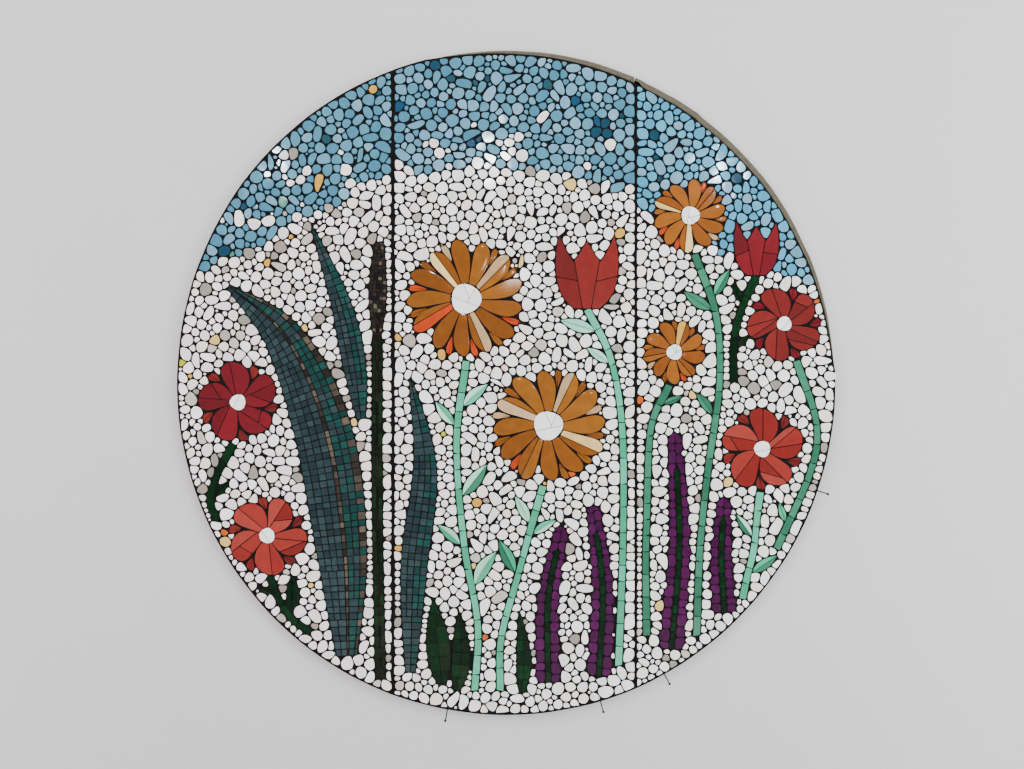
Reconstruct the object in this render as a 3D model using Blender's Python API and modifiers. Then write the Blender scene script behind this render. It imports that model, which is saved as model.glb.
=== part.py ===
"""Round wall mosaic on three backing boards: pebble tiles round raised flowers, stems and grass blades.

The panel is laid out flat, as on a bench: x runs to the right across its face, y up the face and
z out of the wall towards the viewer. One empty then stands it upright against the wall, so the
face looks along -Y and the backs of the boards lie in the plane y = 0. Metres throughout.
"""
import math

import bpy
import bmesh
from mathutils import Vector

# Boards
disc_width = 1.630
disc_height = 1.648
middle_board_width = 0.600
middle_board_shift = 0.020
board_thickness = 0.012
seam_gap = 0.003

# Layer of tiles: adhesive under the tiles, tile, and how far the cut tiles stand above the grout
adhesive_thickness = 0.003
tile_thickness = 0.006
tile_proud = 0.0015

# Bare board beyond the tiles, from the right-hand side round over the top
rim_width = 0.014
rim_start = math.radians(2)
rim_end = math.radians(104)
cut_roughness = 0.0016

# Skyline: the crest of the white field
skyline_base = 0.240
skyline_rise = 0.285
skyline_middle = -0.050
skyline_spread = 0.550

# Nails that hold the panel from below and from the side
nail_diameter = 0.0032
nail_head_diameter = 0.0065
nail_head_thickness = 0.0012
nail_reach = 0.050
nail_angles = [math.radians(a) for a in (259.7, 286.6, 298.7, 341.0)]

# Fits
fit_gap = 0.0003
edge_step = math.radians(6)
skyline_step = 0.05

# Half widths of stems, reed and flower spikes, and how far a stem stops short of its flower
stem_half = 0.0077
stem_stop = 0.0055
reed_half = 0.0122
reed_head_half = 0.0212
spike_half = 0.0326
spike_core_half = 0.0069

# The picture is a free form: its shapes are shares of half the disc's lesser size
unit = min(disc_width, disc_height) / 2
leaf_rise = 1.05
leaf_root = 0.10
leaf_belly = 0.19
daisy_notch = 0.42
daisy_shoulder = 0.72
daisy_centre = 0.25
blossom_centre = 0.20
petal_sway = 0.22
spike_core_end = 0.84

half_width = disc_width / 2
half_height = disc_height / 2
left_seam = middle_board_shift - middle_board_width / 2
right_seam = middle_board_shift + middle_board_width / 2

grout_level = board_thickness + fit_gap + adhesive_thickness + tile_thickness - tile_proud
tile_bed_level = board_thickness + fit_gap + adhesive_thickness
tile_back = tile_bed_level + fit_gap
tile_face = grout_level + tile_proud
pocket_top = tile_face + tile_thickness


# Plain geometry of flat outlines

def edge_point(angle, inset):
    """Point of the disc's edge at an angle, moved inwards by inset."""
    return Vector(((half_width - inset) * math.cos(angle), (half_height - inset) * math.sin(angle)))


def cut_wander(angle):
    """How far the sawn edge of the boards wanders inwards at an angle."""
    wave = math.sin(7 * angle + 0.6) + 0.7 * math.sin(17 * angle) + 0.5 * math.sin(41 * angle + 2.0)
    return cut_roughness * (1 + wave / 2.2) / 2


def rim_at(angle):
    """Width of the bare board beyond the tiles at an angle."""
    share = (angle % math.tau - rim_start) / (rim_end - rim_start)
    if not 0 < share < 1:
        return 0.0
    return rim_width * math.sin(math.pi * share) ** 0.6


def board_edge(angle):
    return edge_point(angle, cut_wander(angle))


def field_edge(angle):
    return edge_point(angle, cut_wander(angle) + rim_at(angle))


def skyline(x):
    """Height of the crest where the sky meets the white field."""
    return skyline_base + skyline_rise * math.exp(-abs((x - skyline_middle) / skyline_spread) ** 3)


def bisect(miss, low, high):
    """Root of a function that changes sign once between low and high."""
    sign_low = miss(low) > 0
    for _ in range(48):
        mid = (low + high) / 2
        if (miss(mid) > 0) == sign_low:
            low = mid
        else:
            high = mid
    return (low + high) / 2


def angle_at_x(edge, x, upper):
    """Angle at which an edge crosses the vertical line at x, on its upper or lower half."""
    start = 0.0 if upper else math.pi
    return bisect(lambda a: edge(a).x - x, start + 1e-4, start + math.pi - 1e-4)


def angle_at_skyline(edge, rise, start):
    """Angle at which an edge meets the skyline raised by rise, in the quarter turn from start."""
    return bisect(lambda a: edge(a).y - skyline(edge(a).x) - rise, start, start + math.pi / 2)


def arc(edge, start, end):
    """Points along an edge from one angle to another."""
    count = max(2, round(abs(end - start) / edge_step))
    return [edge(start + (end - start) * i / count) for i in range(count + 1)]


def crest(x_from, x_to, rise):
    """Points along the skyline, raised by rise."""
    count = max(2, round(abs(x_to - x_from) / skyline_step))
    xs = [x_from + (x_to - x_from) * i / count for i in range(count + 1)]
    return [Vector((x, skyline(x) + rise)) for x in xs]


def without_repeats(points):
    """The same outline without points that nearly coincide with the one before."""
    kept = []
    for point in points:
        if not kept or (point - kept[-1]).length > fit_gap:
            kept.append(point)
    if (kept[0] - kept[-1]).length <= fit_gap:
        kept.pop()
    return kept


def grown(outline, distance):
    """The outline moved outwards by a distance, with sharp tips kept short."""
    turn = sum(a.cross(b) for a, b in zip(outline, outline[1:] + outline[:1]))
    side = 1 if turn > 0 else -1
    moved = []
    for i, point in enumerate(outline):
        before = (point - outline[i - 1]).normalized()
        after = (outline[(i + 1) % len(outline)] - point).normalized()
        normal = Vector((before.y + after.y, -before.x - after.x)).normalized() * side
        half_turn = math.sqrt(max((1 + before.dot(after)) / 2, 0.09))
        moved.append(point + normal * distance / half_turn)
    return moved


def smooth_route(points, count):
    """Points along a smooth curve through the route's own points."""
    ends = [points[0] * 2 - points[1]] + points + [points[-1] * 2 - points[-2]]
    route = []
    for i in range(count + 1):
        place = i / count * (len(points) - 1)
        k = min(int(place), len(points) - 2)
        t = place - k
        a, b, c, d = ends[k:k + 4]
        route.append(0.5 * (2 * b + (c - a) * t + (2 * a - 5 * b + 4 * c - d) * t ** 2
                            + (3 * b - a - 3 * c + d) * t ** 3))
    return route


def tangents(route):
    """Unit direction of travel at each point of a route."""
    last = len(route) - 1
    return [(route[min(i + 1, last)] - route[max(i - 1, 0)]).normalized() for i in range(last + 1)]


def left_of(direction):
    return Vector((-direction.y, direction.x))


def ribbon(points, count, half_width_at):
    """Outline of a band along a route, half_width_at(share of its length) wide to each side."""
    route = smooth_route(points, count)
    ways = tangents(route)
    halves = [half_width_at(i / count) for i in range(count + 1)]
    left = [p + left_of(w) * h for p, w, h in zip(route, ways, halves)]
    right = [p - left_of(w) * h for p, w, h in zip(route, ways, halves)]
    return without_repeats(left + right[::-1])


# Places on the three boards

boards = {
    "left": (-half_width, left_seam - seam_gap / 2),
    "middle": (left_seam + seam_gap / 2, right_seam - seam_gap / 2),
    "right": (right_seam + seam_gap / 2, half_width),
}


def spot(board, across, up):
    """Place on a board: share of the way across it, and height as a share of the half height."""
    low, high = boards[board]
    return Vector((low + (high - low) * across, half_height * up))


def around(centre, radius, angle):
    return centre + Vector((math.cos(angle), math.sin(angle))) * radius


# Shapes of the picture

def flower(centre, radius, petals, turn, shape):
    """Ring of swaying petals from points of (distance out, swing); swing 0.5 is halfway to the next petal."""
    pitch = math.tau / petals
    return [around(centre, radius * out, turn + (i + swing + petal_sway * out ** 2) * pitch)
            for i in range(petals) for out, swing in shape]


def daisy(centre, radius, petals, turn):
    """Ring of pointed petals, joined near the centre."""
    shape = ((daisy_notch, -0.5), (daisy_shoulder, -0.43), (1.0, 0.0), (daisy_shoulder, 0.43))
    return flower(centre, radius, petals, turn, shape)


def blossom(centre, radius, petals, turn):
    """Ring of broad round petals, joined near the centre."""
    shape = ((0.46, -0.50), (0.74, -0.42), (0.95, -0.24), (1.0, 0.0), (0.95, 0.24), (0.74, 0.42))
    return flower(centre, radius, petals, turn, shape)


def disc(centre, radius, sides):
    return [around(centre, radius, math.tau * i / sides) for i in range(sides)]


def tulip(centre, width, height):
    """Cup with three pointed tips."""
    half = ((0.0, 0.42), (0.22, 0.14), (0.44, 0.50), (0.50, 0.10), (0.42, -0.28), (0.20, -0.50))
    right = [centre + Vector((x * width, y * height)) for x, y in half]
    left = [centre + Vector((-x * width, y * height)) for x, y in half[:0:-1]]
    return right + left


def leafy_stem(points, half, leaves):
    """Outline of a stem with leaves: each leaf is (share along the stem, side, length)."""
    count = 8
    route = smooth_route(points, count)
    ways = tangents(route)
    stem_length = sum((b - a).length for a, b in zip(route, route[1:]))
    sides = {1: [], -1: []}
    for side, outline in sides.items():
        stops = [(i / count, None) for i in range(count + 1)]
        for share, own_side, length in leaves:
            if own_side == side:
                root_share = 1.3 * leaf_root * length * unit / stem_length
                stops = [stop for stop in stops if stop[1] or abs(stop[0] - share) > root_share]
                stops.append((share, length))
        for share, length in sorted(stops, key=lambda stop: stop[0]):
            if length:
                outline.extend(stem_leaf(route, share, side, half, length * unit))
            else:
                i = round(share * count)
                outline.append(route[i] + left_of(ways[i]) * half * side)
    return without_repeats(sides[1] + sides[-1][::-1])


def stem_leaf(route, share, side, half, length):
    """Points round one leaf, from its lower root on the stem to its upper root."""
    place = share * (len(route) - 1)
    k = int(place)
    way = (route[k + 1] - route[k]).normalized()
    root = route[k].lerp(route[k + 1], place - k) + left_of(way) * half * side
    lean = (way * leaf_rise + left_of(way) * side).normalized()
    across = left_of(lean) * side
    return [root - way * length * leaf_root, root + lean * length * 0.42 + across * length * leaf_belly,
            root + lean * length, root + lean * length * 0.52 - across * length * leaf_belly,
            root + way * length * leaf_root]


def band(route, ways, picks, half):
    """Left and right side of a band along the picked points of a route."""
    left = [route[i] + left_of(ways[i]) * half for i in picks]
    right = [route[i] - left_of(ways[i]) * half for i in picks]
    return left, right


def spike_shapes(points, lobes):
    """Outlines of a flower spike: the whole of it, its two rows of florets, and the stem between them."""
    count = 2 * lobes
    route = smooth_route(points, count)
    ways = tangents(route)
    left, right = [], []
    for i in range(count):
        half = spike_half * (1 - 0.5 * (i / count) ** 2) * (1 if i % 2 else 0.68)
        left.append(route[i] + left_of(ways[i]) * half)
        right.append(route[i] - left_of(ways[i]) * half)
    whole = left + [route[count]] + right[::-1]
    core_end = round(spike_core_end * count)
    picks = list(range(0, core_end, 4)) + [core_end]
    slot_left, slot_right = band(route, ways, picks, spike_core_half)
    core_left, core_right = band(route, ways, picks, spike_core_half - fit_gap)
    for side in (core_left, core_right):
        side[-1] = side[-1] - ways[core_end] * fit_gap
    return whole, whole + slot_right + slot_left[::-1], core_left + core_right[::-1]


def reed_head_width(share):
    """Half width of the reed's head along its length."""
    return reed_head_half * (0.45 + 0.55 * math.sin(math.pi * share))


def blade_half(widest):
    """Half width of a grass blade along its length."""
    return lambda t: unit * max(widest * math.sin(math.pi * (0.10 + 0.90 * t)) ** 0.9, 0.0008)


# Objects, materials and solids

for old in list(bpy.data.objects):
    bpy.data.objects.remove(old, do_unlink=True)

panel = bpy.data.collections.new("mosaic_panel")
pockets = bpy.data.collections.new("pockets")
for group in (panel, pockets):
    bpy.context.scene.collection.children.link(group)

upright = bpy.data.objects.new("upright", None)
upright.rotation_euler = (math.pi / 2, 0, 0)
panel.objects.link(upright)


def material(name, colour, roughness):
    """Plain finish with a colour and a roughness."""
    made = bpy.data.materials.new(name)
    made.use_nodes = True
    shader = made.node_tree.nodes["Principled BSDF"]
    shader.inputs["Base Color"].default_value = (*colour, 1)
    shader.inputs["Roughness"].default_value = roughness
    shader.inputs["Metallic"].default_value = 0.0
    return made


finish = {
    "board": material("board", (0.19, 0.16, 0.11), 0.85),
    "white": material("white", (0.73, 0.72, 0.72), 0.20),
    "sky": material("sky", (0.19, 0.43, 0.54), 0.20),
    "ochre": material("ochre", (0.50, 0.15, 0.012), 0.12),
    "orange": material("orange", (0.78, 0.11, 0.02), 0.12),
    "red": material("red", (0.38, 0.022, 0.016), 0.12),
    "coral": material("coral", (0.60, 0.06, 0.035), 0.12),
    "dark_red": material("dark_red", (0.20, 0.008, 0.012), 0.12),
    "centre": material("centre", (0.80, 0.79, 0.78), 0.12),
    "mint": material("mint", (0.24, 0.56, 0.42), 0.15),
    "green": material("green", (0.08, 0.28, 0.18), 0.15),
    "dark_green": material("dark_green", (0.010, 0.045, 0.015), 0.15),
    "purple": material("purple", (0.10, 0.012, 0.085), 0.15),
    "teal": material("teal", (0.03, 0.10, 0.11), 0.20),
    "reed": material("reed", (0.030, 0.022, 0.018), 0.25),
    "nail": material("nail", (0.035, 0.030, 0.028), 0.45),
}


def plate(name, outlines, low, high, group, look):
    """Flat plate between two levels, from an outline and any holes in it."""
    curve = bpy.data.curves.new(name, "CURVE")
    curve.dimensions = "2D"
    curve.fill_mode = "BOTH"
    curve.extrude = (high - low) / 2
    for outline in outlines:
        spline = curve.splines.new("POLY")
        spline.points.add(len(outline) - 1)
        for point, place in zip(spline.points, outline):
            point.co = (place.x, place.y, 0, 1)
        spline.use_cyclic_u = True
    guide = bpy.data.objects.new(name + "_curve", curve)
    bpy.context.scene.collection.objects.link(guide)
    bpy.context.view_layer.update()
    mesh = bpy.data.meshes.new_from_object(guide.evaluated_get(bpy.context.evaluated_depsgraph_get()))
    bpy.data.objects.remove(guide, do_unlink=True)
    bpy.data.curves.remove(curve)
    body = bmesh.new()
    body.from_mesh(mesh)
    bmesh.ops.remove_doubles(body, verts=body.verts, dist=0.00001)
    bmesh.ops.recalc_face_normals(body, faces=body.faces)
    if body.calc_volume(signed=True) < 0:
        bmesh.ops.reverse_faces(body, faces=body.faces)
    body.to_mesh(mesh)
    body.free()
    mesh.name = name
    mesh.materials.clear()
    if look:
        mesh.materials.append(finish[look])
    piece = bpy.data.objects.new(name, mesh)
    piece.parent = upright
    piece.location.z = (low + high) / 2
    group.objects.link(piece)
    return piece


def pocket(name, outline):
    """Cutter for the pocket that a tile group sits in."""
    cutter = plate(name + "_pocket", [grown(outline, fit_gap)], tile_bed_level, pocket_top, pockets, None)
    cutter.hide_render = True
    cutter.display_type = "WIRE"


def tiles(name, outline, look, holes=()):
    """Group of cut tiles set in a pocket of its own outline."""
    plate(name, [outline, *holes], tile_back, tile_face, panel, look)
    pocket(name, outline)


def inset_tile(name, outline, look):
    """Tile that sits in a hole or a slot of another group and needs no pocket."""
    plate(name, [outline], tile_back, tile_face, panel, look)


# Boards and fields of pebble tiles

def board_outline(name):
    """Edge of one board: the disc's edge closed by the seams."""
    low, high = boards[name]
    if name == "left":
        return arc(board_edge, angle_at_x(board_edge, high, True), angle_at_x(board_edge, high, False))
    if name == "right":
        start = angle_at_x(board_edge, low, False) - math.tau
        return arc(board_edge, start, angle_at_x(board_edge, low, True))
    above = arc(board_edge, angle_at_x(board_edge, high, True), angle_at_x(board_edge, low, True))
    below = arc(board_edge, angle_at_x(board_edge, low, False), angle_at_x(board_edge, high, False))
    return above + below


def field_outline(name, is_sky):
    """Edge of the sky or of the white field on one board: an arc of the disc and the skyline."""
    low, high = boards[name]
    rise = fit_gap / 2 if is_sky else -fit_gap / 2
    meets_left = angle_at_skyline(field_edge, rise, math.pi / 2)
    meets_right = angle_at_skyline(field_edge, rise, 0.0)
    if name == "left":
        top, bottom = (angle_at_x(field_edge, high, upper) for upper in (True, False))
        start, end = (top, meets_left) if is_sky else (meets_left, bottom)
    elif name == "right":
        top, bottom = (angle_at_x(field_edge, low, upper) for upper in (True, False))
        start, end = (meets_right, top) if is_sky else (bottom - math.tau, meets_right)
    else:
        start, end = (angle_at_x(field_edge, x, is_sky) for x in ((high, low) if is_sky else (low, high)))
    round_edge = arc(field_edge, start, end)
    return without_repeats(round_edge + crest(round_edge[-1].x, round_edge[0].x, rise))


def make_field(name, is_sky):
    """Pebble tiles with their adhesive and grout, as one solid with pockets for the cut tiles."""
    look = "sky" if is_sky else "white"
    field = plate(f"{look}_pebbles_{name}", [field_outline(name, is_sky)],
                  board_thickness + fit_gap, grout_level, panel, look)
    cut = field.modifiers.new("pockets", "BOOLEAN")
    cut.operation = "DIFFERENCE"
    cut.operand_type = "COLLECTION"
    cut.collection = pockets
    cut.solver = "EXACT"


# Flowers, leaves and stems

def make_daisy(name, petals, turn, look):
    place, size = flowers[name]
    centre = spot(*place)
    heart = disc(centre, size * unit * daisy_centre, 10)
    tiles(name + "_petals", daisy(centre, size * unit, petals, turn), look, [grown(heart, fit_gap)])
    inset_tile(name + "_centre", heart, "centre")


def make_blossom(name, turn, look):
    place, size = flowers[name]
    centre = spot(*place)
    heart = disc(centre, size * unit * blossom_centre, 8)
    tiles(name + "_petals", blossom(centre, size * unit, 5, turn), look, [grown(heart, fit_gap)])
    inset_tile(name + "_centre", heart, "centre")


def make_tulip(name, width, look):
    place, size = flowers[name]
    tiles(name, tulip(spot(*place), width * unit, 2 * size * unit), look)


def make_stem(name, route, bearing, lean, leaves, look):
    """Stem that ends just short of the flower it bears, lean degrees to the right of its lowest point."""
    place, size = flowers[bearing]
    top = around(spot(*place), size * unit + stem_stop, math.radians(lean - 90))
    tiles(name, leafy_stem([spot(*point) for point in route] + [top], stem_half, leaves), look)


def make_spike(name, route, lobes):
    whole, florets, core = spike_shapes([spot(*place) for place in route], lobes)
    inset_tile(name + "_florets", florets, "purple")
    inset_tile(name + "_stem", core, "dark_green")
    pocket(name, whole)


def make_blade(name, route, widest, count, look):
    tiles(name, ribbon([spot(*place) for place in route], count, blade_half(widest)), look)


flowers = {
    "daisy_high": (("middle", 0.300, 0.250), 0.185),
    "daisy_low": (("middle", 0.640, -0.130), 0.180),
    "daisy_sky": (("right", 0.270, 0.500), 0.115),
    "daisy_side": (("right", 0.190, 0.090), 0.098),
    "blossom_far_left": (("left", 0.285, -0.060), 0.125),
    "blossom_low_left": (("left", 0.420, -0.460), 0.122),
    "blossom_far_right": (("right", 0.740, 0.175), 0.115),
    "blossom_low_right": (("right", 0.630, -0.200), 0.128),
    "tulip_middle": (("middle", 0.800, 0.330), 0.110),
    "tulip_right": (("right", 0.600, 0.400), 0.080),
}


def make_flowers():
    make_daisy("daisy_high", 13, 0.2, "ochre")
    make_daisy("daisy_low", 12, 0.5, "ochre")
    make_daisy("daisy_sky", 10, 0.1, "orange")
    make_daisy("daisy_side", 9, 0.4, "orange")
    make_blossom("blossom_far_left", 0.3, "dark_red")
    make_blossom("blossom_low_left", 0.9, "coral")
    make_blossom("blossom_far_right", 0.5, "red")
    make_blossom("blossom_low_right", 0.1, "coral")
    make_tulip("tulip_middle", 0.190, "red")
    make_tulip("tulip_right", 0.135, "dark_red")


def make_stems():
    make_stem("stem_far_left", [("left", 0.185, -0.415), ("left", 0.160, -0.330)],
              "blossom_far_left", -7, [(0.45, -1, 0.06)], "dark_green")
    make_stem("stem_low_left", [("left", 0.620, -0.750), ("left", 0.510, -0.690)],
              "blossom_low_left", 3, [(0.45, -1, 0.11), (0.80, 1, 0.05)], "dark_green")
    make_stem("stem_daisy_high", [("middle", 0.335, -0.925), ("middle", 0.350, -0.728),
                                  ("middle", 0.290, -0.485), ("middle", 0.262, -0.182)], "daisy_high", 0,
              [(0.38, -1, 0.12), (0.50, 1, 0.09), (0.62, -1, 0.12), (0.80, 1, 0.09), (0.86, -1, 0.10)],
              "mint")
    make_stem("stem_daisy_low", [("middle", 0.440, -0.925), ("middle", 0.450, -0.750),
                                 ("middle", 0.530, -0.540)],
              "daisy_low", -5, [(0.62, 1, 0.11), (0.80, -1, 0.08), (0.84, 1, 0.09)], "mint")
    make_stem("stem_tulip_middle", [("middle", 0.930, -0.850), ("middle", 0.950, -0.500),
                                    ("middle", 0.945, -0.150), ("middle", 0.900, 0.070)],
              "tulip_middle", 0, [(0.74, 1, 0.08), (0.90, 1, 0.11)], "mint")
    make_stem("stem_daisy_sky", [("right", 0.300, -0.760), ("right", 0.320, -0.500), ("right", 0.360, -0.250),
                                 ("right", 0.415, 0.000), ("right", 0.400, 0.200)],
              "daisy_sky", 6, [(0.52, 1, 0.08), (0.82, 1, 0.10), (0.86, -1, 0.09)], "green")
    make_stem("stem_daisy_side", [("right", 0.050, -0.760), ("right", 0.050, -0.450),
                                  ("right", 0.070, -0.150)],
              "daisy_side", -9, [(0.86, -1, 0.06)], "green")
    make_stem("stem_far_right", [("right", 0.700, -0.500), ("right", 0.865, -0.280),
                                 ("right", 0.900, -0.120)],
              "blossom_far_right", 18, [(0.12, 1, 0.06)], "green")
    make_stem("stem_low_right", [("right", 0.530, -0.650), ("right", 0.585, -0.500)],
              "blossom_low_right", -3, [(0.30, -1, 0.09), (0.62, 1, 0.08)], "mint")
    make_stem("stem_tulip_right", [("right", 0.485, 0.000), ("right", 0.500, 0.170)],
              "tulip_right", 0, [(0.30, -1, 0.05), (0.72, 1, 0.06)], "dark_green")


def make_leaves():
    make_spike("lavender_middle", [("middle", 0.640, -0.900), ("middle", 0.640, -0.650),
                                   ("middle", 0.700, -0.430)], 7)
    make_spike("lavender_seam", [("middle", 0.850, -0.880), ("middle", 0.865, -0.620),
                                 ("middle", 0.825, -0.370)], 8)
    make_spike("lavender_tall", [("right", 0.175, -0.800), ("right", 0.215, -0.480),
                                 ("right", 0.190, -0.150)], 10)
    make_spike("lavender_right", [("right", 0.440, -0.690), ("right", 0.425, -0.520),
                                  ("right", 0.440, -0.345)], 6)

    make_blade("grass_blade_tall", [("left", 0.790, -0.820), ("left", 0.765, -0.500), ("left", 0.680, -0.150),
                                    ("left", 0.500, 0.130), ("left", 0.220, 0.300)], 0.088, 14, "teal")
    make_blade("grass_blade_upright", [("left", 0.855, -0.110), ("left", 0.825, 0.050),
                                       ("left", 0.760, 0.240), ("left", 0.620, 0.480)], 0.036, 10, "teal")
    make_blade("grass_blade_short", [("middle", 0.070, -0.870), ("middle", 0.085, -0.550),
                                     ("middle", 0.130, -0.250), ("middle", 0.065, 0.030)], 0.042, 11, "teal")
    stalk = ((0.945, -0.890), (0.930, -0.350), (0.930, 0.130))
    reed_route = [spot("left", across, up) for across, up in stalk]
    tiles("reed_stalk", ribbon(reed_route, 5, lambda t: reed_half), "dark_green")
    head = ((0.930, 0.140), (0.932, 0.270), (0.940, 0.420))
    head_route = [spot("left", across, up) for across, up in head]
    tiles("reed_head", ribbon(head_route, 6, reed_head_width), "reed")
    make_blade("leaf_tuft_left", [("middle", 0.200, -0.905), ("middle", 0.185, -0.790),
                                  ("middle", 0.165, -0.650)], 0.036, 6, "dark_green")
    make_blade("leaf_tuft_middle", [("middle", 0.262, -0.925), ("middle", 0.280, -0.820),
                                    ("middle", 0.270, -0.690)], 0.028, 6, "dark_green")
    make_blade("leaf_tuft_right", [("middle", 0.530, -0.930), ("middle", 0.540, -0.830),
                                   ("middle", 0.520, -0.690)], 0.022, 6, "dark_green")


def make_nail(name, angle):
    """Nail driven into the wall against the panel's edge, cut off at the wall."""
    radius = nail_diameter / 2
    head = nail_head_diameter / 2
    tip = tile_face + nail_reach
    profile = [(0, tip), (head, tip), (head, tip - nail_head_thickness), (radius, tip - nail_head_thickness),
               (radius, 0), (0, 0)]
    mesh = bpy.data.meshes.new(name)
    mesh.from_pydata([(x, 0, z) for x, z in profile], [(i, i + 1) for i in range(len(profile) - 1)], [])
    mesh.materials.append(finish["nail"])
    nail = bpy.data.objects.new(name, mesh)
    nail.parent = upright
    place = edge_point(angle, 0.0)
    outward = place.normalized()
    place = place + outward * (head + fit_gap)
    nail.location = (place.x, place.y, 0)
    turn = nail.modifiers.new("turn", "SCREW")
    turn.steps = 8
    turn.render_steps = 8
    turn.use_merge_vertices = True
    turn.merge_threshold = 0.00005
    panel.objects.link(nail)


for board_name in boards:
    plate(f"backing_board_{board_name}", [without_repeats(board_outline(board_name))],
          0.0, board_thickness, panel, "board")
make_flowers()
make_stems()
make_leaves()
for board_name in boards:
    make_field(board_name, True)
    make_field(board_name, False)
for number, nail_angle in enumerate(nail_angles, start=1):
    make_nail(f"support_nail_{number}", nail_angle)
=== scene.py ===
"""Round wall mosaic: pebble tiles set round raised flowers, stems and grass blades on three boards.

A point of the picture is a complex number: the real part runs to the right across the face and the
imaginary part up the face. Levels are measured out of the wall. Metres throughout.
"""
import cmath
import math
import random

import bpy
import numpy as np
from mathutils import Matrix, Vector, kdtree


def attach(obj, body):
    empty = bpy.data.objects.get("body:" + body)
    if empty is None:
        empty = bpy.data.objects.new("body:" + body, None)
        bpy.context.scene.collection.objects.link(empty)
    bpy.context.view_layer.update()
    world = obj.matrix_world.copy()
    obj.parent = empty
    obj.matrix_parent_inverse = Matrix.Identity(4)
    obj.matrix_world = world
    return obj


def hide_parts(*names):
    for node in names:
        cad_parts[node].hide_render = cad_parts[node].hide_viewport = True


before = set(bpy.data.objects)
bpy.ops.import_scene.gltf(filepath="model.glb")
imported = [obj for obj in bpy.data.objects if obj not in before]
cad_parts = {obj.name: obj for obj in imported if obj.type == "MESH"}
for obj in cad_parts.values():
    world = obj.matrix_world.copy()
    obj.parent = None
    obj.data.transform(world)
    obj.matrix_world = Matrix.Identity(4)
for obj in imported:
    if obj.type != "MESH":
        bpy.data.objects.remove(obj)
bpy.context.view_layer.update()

# Sizes of the panel and its nails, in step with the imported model
disc_width = 1.630
disc_height = 1.648
middle_board_width = 0.600
middle_board_shift = 0.020
board_thickness = 0.012
seam_gap = 0.003
grout_level = 0.0198
tile_face = 0.0213
tile_foot = 0.0182
rim_width = 0.017
rim_start = math.radians(2)
rim_end = math.radians(104)
cut_roughness = 0.0016
# Where the saw was set again, so the bare rim steps inwards: from angle, to angle, depth
saw_steps = ((23.2, 39.0, 0.0012), (39.0, 53.9, 0.0020), (55.0, 59.7, 0.0008), (59.7, 64.7, 0.0016))
skyline_base = 0.240
skyline_rise = 0.285
skyline_middle = -0.050
skyline_spread = 0.550
nail_radius = 0.0016
nail_head_radius = 0.00325
nail_head_thickness = 0.0012
nail_tip = 0.0713
nail_clearance = 0.0003
nail_sides = 20
nail_angles = (259.7, 286.6, 298.7, 341.0)

# Stems, spikes, petals and leaves: lengths in metres, and shares or counts of marks
stem_half = 0.0077
reed_half = 0.0122
reed_head_half = 0.0212
spike_half = 0.0326
spike_core_half = 0.0069
spike_core_end = 0.84
floret_steps = (4, 5, 6, 6, 7)
floret_corner = 0.0046
floret_joint = 0.45
lobe_steps = 12
stem_step = 0.008
stem_wave = 0.14
stem_slant = 0.0025
length_steps = (5, 6, 7, 8)
shortest_piece = 3
petal_sway = 0.22
daisy_root = 0.27
daisy_heart = 0.25
blossom_root = 0.22
blossom_heart = 0.20
leaf_belly = 0.17
leaf_lean = 1.05
leaf_places = 8

half_width = disc_width / 2
half_height = disc_height / 2
unit = min(disc_width, disc_height) / 2
left_seam = middle_board_shift - middle_board_width / 2
right_seam = middle_board_shift + middle_board_width / 2
seams = {"left": left_seam, "right": right_seam}

# Joints between the tiles, and what stays clear at the edge and the seams
pebble_joint = 0.0025
picture_joint = 0.0019
row_joint = 0.0024
reed_joint = 0.0012
hair_joint = 0.0010
edge_margin = 0.0048
seam_margin = {"left": 0.0028, "right": 0.0026}
seam_wander = {"left": 0.0032, "right": 0.0012}

# Unevenness of the hand work, and the smallest pieces that are laid
hand_slip = 0.0003
cut_lean = 0.07
row_jitter = 0.12
room_slack = 0.0003
smallest_row = 0.0045
smallest_lane = 0.0028
smallest_tessera = 8e-6
smallest_cut_tile = 1.5e-5
smallest_pebble = 2.0e-5
small_pebble = 2.4e-4

# Map of the free room for pebbles
map_step = 0.002
map_reach = 0.046
filler_reach = 0.026
anywhere = 1.0

# How finely curves and outlines are drawn
curve_points = 400
board_points = 540
pebble_spokes = 13
pebble_side = 0.0042
sliver_sides = 9

# Wear of the tiles: how many have a light edge, both worn biscuit and a painted glint, and the shape of that
# edge as shares of its width
worn_and_glint_share = 0.25
wall_drop = 0.8
worn_drop = 0.22
worn_inset = 0.35

# Wall, floor, lights and camera
wall_half_width = 3.6
wall_half_height = 2.4
wall_hole = 0.79
wall_back_gap = 0.0015
floor_level = -1.45
floor_front = -4.5
lamp_plane = -2.44
lamp_size = 0.10
face_distance = 1.896
camera_shift = (0.0141, -0.0057)
lens = 27.0
sensor_width = 36

rng = random.Random(41)
boards = {
    "left": (-half_width, left_seam - seam_gap / 2),
    "middle": (left_seam + seam_gap / 2, right_seam - seam_gap / 2),
    "right": (right_seam + seam_gap / 2, half_width),
}


# Plain geometry of flat outlines

def rim_at(angle):
    """Width of the bare board beyond the tiles at an angle."""
    share = np.clip((angle % math.tau - rim_start) / (rim_end - rim_start), 0, 1)
    return rim_width * np.sin(math.pi * share) ** 0.6


def cut_wander(angle):
    """How far the sawn edge of the boards wanders inwards at an angle."""
    wave = np.sin(7 * angle + 0.6) + 0.7 * np.sin(17 * angle) + 0.5 * np.sin(41 * angle + 2.0)
    return cut_roughness * (1 + wave / 2.2) / 2


def sawn_edge(angle):
    """How far the boards' edge lies inwards at an angle, with the steps of the saw."""
    steps = (depth for start, end, depth in saw_steps if math.radians(start) < angle < math.radians(end))
    return cut_wander(angle) + sum(steps)


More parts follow.
